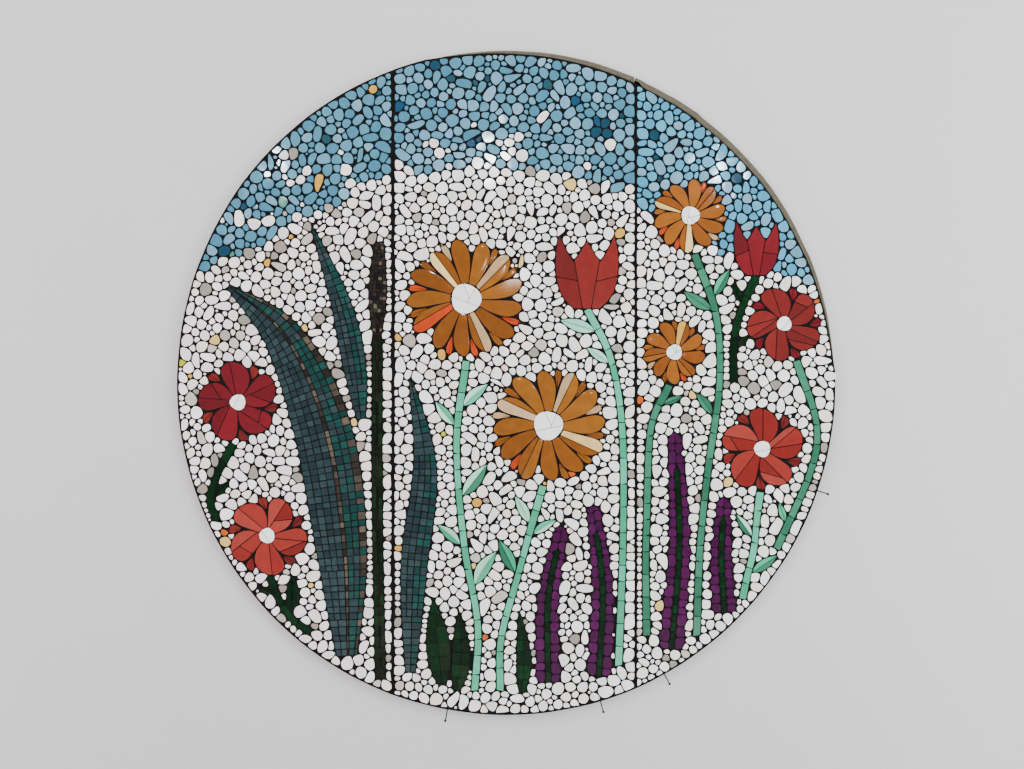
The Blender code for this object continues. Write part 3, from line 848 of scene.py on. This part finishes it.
def pack_pebbles():
    """Packs the panel from its broad pebbles down to its narrow ones."""
    for _ in range(12):
        fill(0.0126, 0.0150, 0.0015, 1, quota=34)
        fill(0.0103, 0.0124, 0.0015, 1, quota=110, long_share=0.30)
        fill(0.0080, 0.0100, 0.0012, 1, quota=50, long_share=0.60)
    fill(0.0105, 0.0130, anywhere, 2)
    fill(0.0084, 0.0105, anywhere, 2, long_share=0.3)
    fill(0.0066, 0.0084, 0.0015, 4, long_share=0.5)
    fill(0.0050, 0.0064, anywhere, 3, long_share=0.5)
    fill(0.0039, 0.0049, anywhere, 2, long_share=0.6)


def room_at(spots):
    """Clear distance at each of some spots, and the direction in which it grows there."""
    column = np.clip((spots.real - columns[0]) / map_step, 1, len(columns) - 3)
    row = np.clip((spots.imag - rows[0]) / map_step, 1, len(rows) - 3)
    c, r = column.astype(int), row.astype(int)
    s, t = column - c, row - r
    low = clear[r, c] * (1 - s) + clear[r, c + 1] * s
    high = clear[r + 1, c] * (1 - s) + clear[r + 1, c + 1] * s
    return low * (1 - t) + high * t, rise[np.round(row).astype(int), np.round(column).astype(int)]


def circle_tree():
    """The circles' centres, sorted for a quick search."""
    tree = kdtree.KDTree(len(circles))
    for number, (centre, _, _) in enumerate(circles):
        tree.insert((centre.real, centre.imag, 0), number)
    tree.balance()
    return tree


def rivals(own):
    """Circles of the neighbouring pebbles, each with the circle of this pebble that is nearest to it."""
    nearest = {}
    for mine in own:
        centre = circles[mine][0]
        for _, other, distance in neighbours.find_range((centre.real, centre.imag, 0), map_reach):
            if other not in own and (other not in nearest or distance < nearest[other][1]):
                nearest[other] = (mine, distance)
    return nearest


def trimmed(shape, edge, inward):
    """The shape cut at a point of an edge, square to the way inward but for a little lean."""
    return cut(shape, edge, -1j * inward * cmath.rect(1, rng.gauss(0, cut_lean)))


def beside_seams(shape, centre):
    """The shape kept on its own side of both seams, by a cut that leans a little."""
    for name, seam in seams.items():
        side = 1 if centre.real > seam else -1
        edge = complex(seam + side * (seam_margin[name] + rng.uniform(0, seam_wander[name])), centre.imag)
        shape = trimmed(shape, edge, side)
    return shape


def within_room(shape, centre):
    """The shape cut back wherever the way out from its centre meets an edge or a tile of the picture."""
    nip = rng.uniform(0.0, 0.0008)
    for _ in range(7):
        corners = np.array(shape)
        after = np.roll(corners, -1)
        ring = np.concatenate([corners + (after - corners) * share for share in (0.0, 0.33, 0.67)])
        tests = np.concatenate([centre + (ring - centre) * share for share in (0.70, 0.85, 1.0)])
        value, way = room_at(tests)
        blocked = np.flatnonzero(value < -room_slack)
        if not len(blocked):
            break
        first = blocked[np.argmin(np.abs(tests[blocked] - centre))]
        inward = complex(way[first])
        edge = complex(tests[first]) - inward * (value[first] - nip)
        shape = trimmed(shape, edge, inward)
        if len(shape) < 3:
            break
    return shape


def pebble_outline(own):
    """Outline of one pebble: its circles grown until its neighbours and the edges stop them."""
    shape = []
    turn = rng.uniform(0, math.tau)
    spread = rng.uniform(1.28, 1.50)
    for i in range(pebble_spokes):
        way = cmath.rect(1, turn + math.tau * i / pebble_spokes)
        outermost = max(own, key=lambda mine: (circles[mine][0] * way.conjugate()).real)
        centre, radius, _ = circles[outermost]
        shape.append(centre + way * (radius * spread * rng.uniform(0.96, 1.04) + 0.0018))
    for other, (mine, distance) in rivals(own).items():
        centre, radius, _ = circles[mine]
        neighbour, its_radius, _ = circles[other]
        middle = (distance ** 2 + radius ** 2 - its_radius ** 2) / (2 * distance)
        way = (neighbour - centre) / distance
        shape = cut(shape, centre + way * middle, 1j * way, pebble_joint / 2)
    middle = middle_of([circles[mine][0] for mine in own])
    shape = within_room(beside_seams(shape, middle), middle)
    if len(shape) < 3 or abs(area(shape)) < smallest_pebble:
        return None
    girth = math.sqrt(abs(area(shape)))
    for share in (rng.uniform(0.22, 0.36), 0.15, 0.06):
        shape = rounded(shape, girth * share, 0.2)
    length = sum(abs(b - a) for a, b in zip(shape, shape[1:] + shape[:1]))
    return even(shape, min(20, max(10, round(length / pebble_side))))


def slivers(outlines):
    """Small pieces in the gaps that the pebbles leave."""
    room[:] = clear
    for outline in outlines:
        take_room(room, outline, window([middle_of(outline)], filler_reach), pebble_joint * 0.8)
    first = len(circles)
    fill(0.0042, 0.0075, anywhere, 2)
    fill(0.0031, 0.0042, anywhere, 2)
    pieces = []
    for centre, radius, _ in circles[first:]:
        turn = rng.uniform(0, math.tau)
        pieces.append([around(centre, radius * rng.uniform(0.88, 1.16), turn + math.tau * i / sliver_sides)
                       for i in range(sliver_sides)])
    return pieces


# Colours of the pebbles on each board, for a draw from 0 to 1: each holds up to its own share
sky_shares = {
    "left": ((0.05, "white"), (0.82, "sky"), (0.91, "pale_sky"), (0.92, "warm_white"), (0.93, "sea"),
             (0.94, "taupe"), (0.95, "gold"), (0.968, "pale_sky"), (1.0, "petrol")),
    "middle": ((0.62, "sky"), (0.968, "pale_sky"), (1.0, "petrol")),
    "right": ((0.22, "pale_sky"), (0.985, "bright_sky"), (1.0, "petrol")),
}
white_shares = ((0.92, "white"), (0.972, "warm_white"), (0.985, "accent"), (1.0, "gold"))
taupe_shares = {"left": 0.11, "middle": 0.05, "right": 0.05}
crest_share = 0.24
crest_depth = 0.085
crest_wander = 0.006


def pebble_colour(outline, board):
    """Field and colour of a pebble: sky above the skyline, where white strays in, and white below it."""
    centre = middle_of(outline)
    above = centre.imag - skyline(centre.real) + rng.gauss(0, crest_wander)
    draw = rng.random()
    if above > 0:
        if board == "middle" and draw < crest_share * math.exp(-(above / crest_depth) ** 2):
            return "sky", "white"
        return "sky", next(name for share, name in sky_shares[board] if draw < share)
    if draw < taupe_shares[board]:
        return "white", "taupe"
    name = next(name for share, name in white_shares if draw < share)
    if name == "accent" and abs(area(outline)) >= small_pebble:
        name = "warm_white"
    return "white", name


# Meshes

def upright(point, level):
    """Place in the room of a point of the picture."""
    return point.real, -level, point.imag


def in_scene(name, data):
    """Puts a mesh, a lamp or a camera into the scene."""
    made = bpy.data.objects.new(name, data)
    bpy.context.scene.collection.objects.link(made)
    return made


class TileMesh:
    """Closed tiles with worn edges, some painted lighter as wear and glint, gathered for one mesh."""

    def __init__(self):
        self.places, self.faces, self.smooth, self.colours = [], [], [], []

    def ring(self, outline, levels):
        first = len(self.places)
        self.places += [upright(p, level) for p, level in zip(outline, levels)]
        return range(first, first + len(outline))

    def face(self, corners, colour, smooth=False):
        self.faces.append(corners)
        self.colours.append(colour)
        self.smooth.append(smooth)

    def wall(self, low, high, colour, smooth):
        count = len(low)
        for i in range(count):
            j = (i + 1) % count
            self.face((low[i], low[j], high[j], high[i]), colour, smooth)

    def tile(self, outline, colour, top, wear, tilt, dome=0.0):
        """One tile: foot, wall, two worn bands and a face that leans by a tilt, domed where it is broad."""
        if area(outline) < 0:
            outline = outline[::-1]
        middle = middle_of(outline)
        # Some edges are lighter: worn biscuit, and a painted glint where the edge would catch the light.
        edge = tuple(c * 0.85 + 0.04 for c in colour) if rng.random() < worn_and_glint_share else colour

        def level(ring, drop):
            return [top - drop + ((p - middle) * tilt.conjugate()).real for p in ring]

        inner = grown(outline, -wear * worn_inset)
        face = grown(outline, -wear)
        foot_ring = self.ring(outline, [tile_foot] * len(outline))
        wall_ring = self.ring(outline, level(outline, wear * wall_drop))
        worn_ring = self.ring(inner, level(inner, wear * worn_drop))
        face_ring = self.ring(face, level(face, 0))
        self.face(tuple(foot_ring)[::-1], colour)
        self.wall(foot_ring, wall_ring, colour, True)
        # The outer worn band takes the lighter edge colour: partly wear, partly a painted glint.
        self.wall(wall_ring, worn_ring, edge, True)
        self.wall(worn_ring, face_ring, colour, True)
        if dome:
            for share, drop in ((0.72, -0.6 * dome), (0.38, -0.9 * dome)):
                inner = [middle + (p - middle) * share for p in face]
                inner_ring = self.ring(inner, level(inner, drop))
                self.wall(face_ring, inner_ring, colour, True)
                face_ring = inner_ring
        self.face(tuple(face_ring), colour, bool(dome))

    def stack(self, layers, smooth):
        """Closed body through layers of (outline, level, colour of the band that ends there)."""
        rings = [self.ring(outline, [level] * len(outline)) for outline, level, _ in layers]
        self.face(tuple(rings[0])[::-1], layers[0][2])
        for low, high, (_, _, colour) in zip(rings, rings[1:], layers[1:]):
            self.wall(low, high, colour, smooth)
        self.face(tuple(rings[-1]), layers[-1][2])

    def object(self, name, look):
        mesh = bpy.data.meshes.new(name)
        mesh.from_pydata(self.places, [], self.faces)
        mesh.polygons.foreach_set("use_smooth", self.smooth)
        sizes = [len(face) for face in self.faces]
        corner_colours = np.repeat(np.array([(*c, 1.0) for c in self.colours]), sizes, axis=0)
        attribute = mesh.color_attributes.new("tile", "FLOAT_COLOR", "CORNER")
        attribute.data.foreach_set("color", corner_colours.ravel())
        mesh.materials.append(look)
        mesh.update()
        return in_scene(name, mesh)


# Materials

def plain_material(name, roughness):
    """Material with its node tree, its shader and its place in the mesh."""
    made = bpy.data.materials.new(name)
    made.use_nodes = True
    tree = made.node_tree
    shader = tree.nodes["Principled BSDF"]
    shader.inputs["Roughness"].default_value = roughness
    where = tree.nodes.new("ShaderNodeTexCoord").outputs["Object"]
    return made, tree, shader, where


def added(tree, kind, **inputs):
    """Adds a node: an input given as another node's output is linked, and any other is set."""
    node = tree.nodes.new("ShaderNode" + kind)
    for name, value in inputs.items():
        if isinstance(value, bpy.types.NodeSocket):
            tree.links.new(value, node.inputs[name])
        else:
            node.inputs[name].default_value = value
    return node


def noise(tree, where, scale, detail=3.0):
    """Noise texture at a scale in features to the metre."""
    return added(tree, "TexNoise", Scale=scale, Detail=detail, Vector=where).outputs["Fac"]


def ramp(tree, value, low, high):
    """Noise value spread between two colours or two greys."""
    node = added(tree, "ValToRGB", Fac=value)
    for element, place, colour in zip(node.color_ramp.elements, (0.3, 0.7), (low, high)):
        element.position = place
        element.color = (*colour, 1) if isinstance(colour, tuple) else (colour, colour, colour, 1)
    return node.outputs["Color"]


def bump(tree, shader, value, strength, distance):
    node = added(tree, "Bump", Strength=strength, Distance=distance, Height=value)
    tree.links.new(node.outputs["Normal"], shader.inputs["Normal"])


def multiplied(tree, a, b):
    node = tree.nodes.new("ShaderNodeMix")
    node.data_type = "RGBA"
    node.blend_type = "MULTIPLY"
    node.inputs["Factor"].default_value = 1.0
    tree.links.new(a, node.inputs["A"])
    tree.links.new(b, node.inputs["B"])
    return node.outputs["Result"]


def tinted(name, roughness, specular, cloud_noise, low, high):
    """Material in the colour of each face, times noise of a scale and detail between two colours."""
    made, tree, shader, where = plain_material(name, roughness)
    shader.inputs["Specular IOR Level"].default_value = specular
    colour = tree.nodes.new("ShaderNodeAttribute")
    colour.attribute_name = "tile"
    clouds = ramp(tree, noise(tree, where, *cloud_noise), low, high)
    tree.links.new(multiplied(tree, colour.outputs["Color"], clouds), shader.inputs["Base Color"])
    return made, tree, shader, where


def glaze(name, roughness, mottle, scale, specular=0.5):
    """Glazed tile: its own colour, mottled, with a faint ripple in the glaze."""
    made, tree, shader, where = tinted(name, roughness, specular, (scale,), 1 - mottle, 1 + mottle * 0.4)
    gloss = ramp(tree, noise(tree, where, scale * 2.3), roughness * 0.8, roughness * 1.3)
    tree.links.new(gloss, shader.inputs["Roughness"])
    bump(tree, shader, noise(tree, where, 260, 2.0), 0.10, 0.0004)
    return made


def rough(name, low, high, scale, roughness, height, specular=0.5):
    """Matt material between two colours, with a rough surface."""
    made, tree, shader, where = tinted(name, roughness, specular, (scale, 6.0), low, high)
    bump(tree, shader, noise(tree, where, scale * 4, 4.0), 0.6, height)
    return made


# Roughness, mottle, features to the metre and, where it is low, the share of light that a glaze mirrors
glazes = {
    "white": (0.075, 0.06, 70), "sky": (0.070, 0.12, 80), "ochre": (0.070, 0.18, 40),
    "orange": (0.070, 0.16, 40), "red": (0.080, 0.12, 50), "coral": (0.080, 0.12, 50),
    "dark_red": (0.12, 0.14, 50), "centre": (0.10, 0.04, 60), "mint": (0.13, 0.12, 60),
    "green": (0.13, 0.16, 60), "dark_green": (0.16, 0.40, 90, 0.14), "purple": (0.16, 0.28, 90, 0.22),
    "teal": (0.18, 0.24, 110, 0.32), "reed": (0.25, 0.34, 120, 0.18),
}
looks = {name + "_tile": glaze(name + "_glaze", *values) for name, values in glazes.items()}
looks["grout"] = rough("black_grout", (0.0040, 0.0034, 0.0036), (0.0090, 0.0080, 0.0080), 220, 0.9, 0.0005,
                       0.08)
looks["board"] = rough("sawn_board", (0.72, 0.70, 0.66), (1.0, 0.98, 0.94), 120, 0.9, 0.0008, 0.15)
looks["nail"] = rough("nail_steel", (0.020, 0.017, 0.015), (0.060, 0.052, 0.046), 300, 0.45, 0.0001)
looks["nail"].node_tree.nodes["Principled BSDF"].inputs["Metallic"].default_value = 0.85


def finished(piece, slot, *nodes):
    """Fixes a piece to the panel and hides the parts of the model that it stands for."""
    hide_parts(*nodes)
    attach(piece, "root")


def build_picture():
    """Every tile of the picture, in one mesh for each node; some of the long petals are domed."""
    for node, tiles in picture.items():
        mesh = TileMesh()
        for outline, colour in tiles:
            lean = complex(rng.gauss(0, 0.005), rng.gauss(0, 0.005))
            domed = "daisy" in node and node.endswith("_petals") and rng.random() < 0.3
            dome = rng.uniform(0.0002, 0.0005) if domed else 0.0
            mesh.tile(outline, colour, tile_face - dome - rng.uniform(0.0, 0.0004), 0.0006, lean, dome)
        slot = glaze_of[node] + "_tile"
        finished(mesh.object(node + "_tiles", looks[slot]), slot, node)


def build_pebbles():
    """Every pebble, in one mesh for each field of a board."""
    meshes = {}
    for outline in outlines:
        board = board_at(middle_of(outline))
        kind, name = pebble_colour(outline, board)
        mesh = meshes.setdefault((kind, board), TileMesh())
        lean = complex(rng.gauss(0, 0.012), rng.gauss(0, 0.012))
        top = tile_face - 0.0004 + rng.uniform(-0.0005, 0.0003)
        mesh.tile(outline, shade(name), top, rng.uniform(0.0008, 0.0013), lean)
    for (kind, board), mesh in meshes.items():
        finished(mesh.object(f"{kind}_tiles_{board}", looks[kind + "_tile"]), kind + "_tile",
                 f"{kind}_pebbles_{board}")


# Boards, grout and nails

def board_outline(name, inset_at, spill=0.0):
    """Edge of one board, or of the grout that spills over it: the disc's edge between its seams."""
    low, high = boards[name][0] - spill, boards[name][1] + spill
    ring = [complex(edge_at(a, inset_at(a))) for a in np.linspace(0, math.tau, board_points, endpoint=False)]
    if name != "left":
        ring = cut(ring, complex(low, 0), -1j)
    if name != "right":
        ring = cut(ring, complex(high, 0), 1j)
    return ring


def plate(name, outline, levels, look):
    """Closed plate through levels of (height, inset, colour of the band that ends there)."""
    mesh = TileMesh()
    mesh.stack([(grown(outline, inset), level, colour) for level, inset, colour in levels], False)
    return mesh.object(name, looks[look])


def wandering(inset, swing, waves):
    """Inset that wanders along the edge of a board."""
    def at(point):
        angle = cmath.phase(point)
        return -inset - swing * (math.sin(waves * angle) + 0.6 * math.sin(2.7 * waves * angle + 1)) / 1.6
    return at


board_grey = (0.115, 0.103, 0.080)
board_light = (0.185, 0.170, 0.135)
board_dark = (0.055, 0.048, 0.038)
untinted = (1, 1, 1)


def build_boards():
    """Boards in plies, with smears of adhesive along the bare rim, and the grout on each."""
    smears = {"edge": wandering(0.0020, 0.0008, 31), "foot": wandering(0.0042, 0.0014, 23),
              "slope": wandering(0.0047, 0.0014, 23), "ridge": wandering(0.0078, 0.0018, 19),
              "back": wandering(0.0083, 0.0018, 19), "end": wandering(0.0130, 0.0010, 13)}
    levels = [(0.0, -0.0008, board_grey), (0.0006, 0.0, board_dark), (0.0040, 0.0, board_grey),
              (0.0044, -0.0007, board_dark), (0.0078, -0.0007, board_grey), (0.0082, 0.0, board_dark),
              (0.0104, 0.0, board_light), (0.0108, smears["edge"], board_light),
              (0.0108, smears["foot"], board_grey), (0.0113, smears["slope"], board_dark),
              (0.0115, smears["ridge"], board_grey), (board_thickness, smears["back"], board_light),
              (board_thickness, smears["end"], board_grey)]
    for name in boards:
        board = plate(f"board_{name}", board_outline(name, sawn_edge), levels, "board")
        finished(board, "board", f"backing_board_{name}")
        outline = board_outline(name, lambda a: sawn_edge(a) + rim_at(a) + 0.0004, seam_gap * 0.42)
        bed = plate(f"grout_bed_{name}", outline,
                    [(0.0121, 0.0, untinted), (0.0188, 0.0, untinted), (0.0195, -0.0005, untinted),
                     (grout_level, -0.0012, untinted)], "grout")
        finished(bed, "grout", f"sky_pebbles_{name}", f"white_pebbles_{name}")


def build_nails():
    """Round nails with flat, worn heads, clear of the edge of the panel."""
    neck = nail_tip - nail_head_thickness
    profile = ((nail_radius, 0.0), (nail_radius, neck - 0.0006), (nail_head_radius * 0.8, neck),
               (nail_head_radius, nail_tip - 0.0008), (nail_head_radius * 0.94, nail_tip - 0.0003),
               (nail_head_radius * 0.7, nail_tip))
    for number, angle in enumerate(nail_angles, start=1):
        centre = complex(edge_at(math.radians(angle), 0.0))
        centre += centre / abs(centre) * (nail_head_radius + nail_clearance)
        mesh = TileMesh()
        mesh.stack([([around(centre, radius, math.tau * i / nail_sides) for i in range(nail_sides)],
                     level, untinted) for radius, level in profile], True)
        finished(mesh.object(f"nail_{number}", looks["nail"]), "nail", f"support_nail_{number}")


# Wall, floor, lights and camera

def stage_mesh(name, places, faces, colour):
    mesh = bpy.data.meshes.new(name)
    mesh.from_pydata(places, [], faces)
    made, tree, shader, where = plain_material(name, 0.9)
    tree.links.new(ramp(tree, noise(tree, where, 3.0), tuple(c * 0.985 for c in colour), colour),
                   shader.inputs["Base Color"])
    mesh.materials.append(made)
    piece = in_scene(name, mesh)


def build_stage():
    """Wall with a hole behind the panel, so that its back can be seen, and a floor."""
    count = 96
    turns = [math.tau * i / count for i in range(count)]
    inner = [(wall_hole * math.cos(turn), wall_back_gap, wall_hole * math.sin(turn)) for turn in turns]
    outer = []
    for x, _, z in inner:
        stretch = min(wall_half_width / max(abs(x), 1e-6), wall_half_height / max(abs(z), 1e-6))
        outer.append((x * stretch, wall_back_gap, max(z * stretch, floor_level)))
    faces = [(i, (i + 1) % count, count + (i + 1) % count, count + i) for i in range(count)]
    stage_mesh("wall", inner + outer, faces, (0.55, 0.548, 0.545))
    corners = [(x, y, floor_level) for x, y in ((-wall_half_width, wall_half_width),
                                                (wall_half_width, wall_half_width),
                                                (wall_half_width, floor_front),
                                                (-wall_half_width, floor_front))]
    stage_mesh("floor", corners, [(0, 1, 2, 3)], (0.74, 0.735, 0.73))


def area_light(name, place, target, size, power, colour=(1, 1, 1), mirrored=False):
    """Lamp with a flat face; only a mirrored one is seen in the glazes."""
    data = bpy.data.lights.new(name, "AREA")
    data.shape = "RECTANGLE"
    data.size, data.size_y = size
    data.energy = power
    data.color = colour
    lamp = in_scene(name, data)
    lamp.location = place
    lamp.visible_glossy = mirrored
    lamp.rotation_euler = (Vector(target) - Vector(place)).to_track_quat("-Z", "Y").to_euler()


def build_lights():
    """Even light from a world and soft lamps, and five small lamps that show in the glazes."""
    world = bpy.data.worlds.new("studio")
    world.use_nodes = True
    background = world.node_tree.nodes["Background"]
    background.inputs["Color"].default_value = (1.0, 0.99, 0.98, 1)
    background.inputs["Strength"].default_value = 0.55
    bpy.context.scene.world = world
    area_light("soft_top", (0.0, -1.9, 2.6), (0, 0, -0.2), (3.0, 1.0), 72)
    area_light("soft_left", (-2.7, -2.0, 0.15), (0, 0, -0.3), (1.7, 3.0), 98, (1.0, 0.89, 0.915))
    area_light("soft_right", (2.7, -2.0, 0.15), (0, 0, -0.3), (1.7, 3.0), 142, (0.93, 1.0, 0.995))
    area_light("soft_back", (0.0, 2.6, 1.2), (0, 0, 0), (3.0, 2.0), 120)
    lamps = ((-0.135, 1.26, 5.5), (1.20, 1.20, 5.5), (-1.34, 1.20, 5.5), (0.03, 0.62, 0.9),
             (0.62, 0.30, 0.9))
    for number, (x, z, power) in enumerate(lamps, start=1):
        area_light(f"lamp_{number}", (x, lamp_plane, z), (x / 2, 0, z / 2), (lamp_size, lamp_size), power,
                   mirrored=True)


def build_camera():
    data = bpy.data.cameras.new("camera")
    data.lens = lens
    data.sensor_width = sensor_width
    camera = in_scene("camera", data)
    camera.location = (camera_shift[0], -tile_face - face_distance, camera_shift[1])
    camera.rotation_euler = (math.pi / 2, 0, 0)
    bpy.context.scene.camera = camera


lay_flowers()
lay_stems()
lay_spikes()
lay_grasses()
clear = clear_map()
rise = uphill(clear)
room = clear.copy()
pack_pebbles()
neighbours = circle_tree()
outlines = [outline for outline in map(pebble_outline, pebbles) if outline]
outlines += slivers(outlines)
build_boards()
build_picture()
build_pebbles()
build_nails()
build_stage()
build_lights()
build_camera()
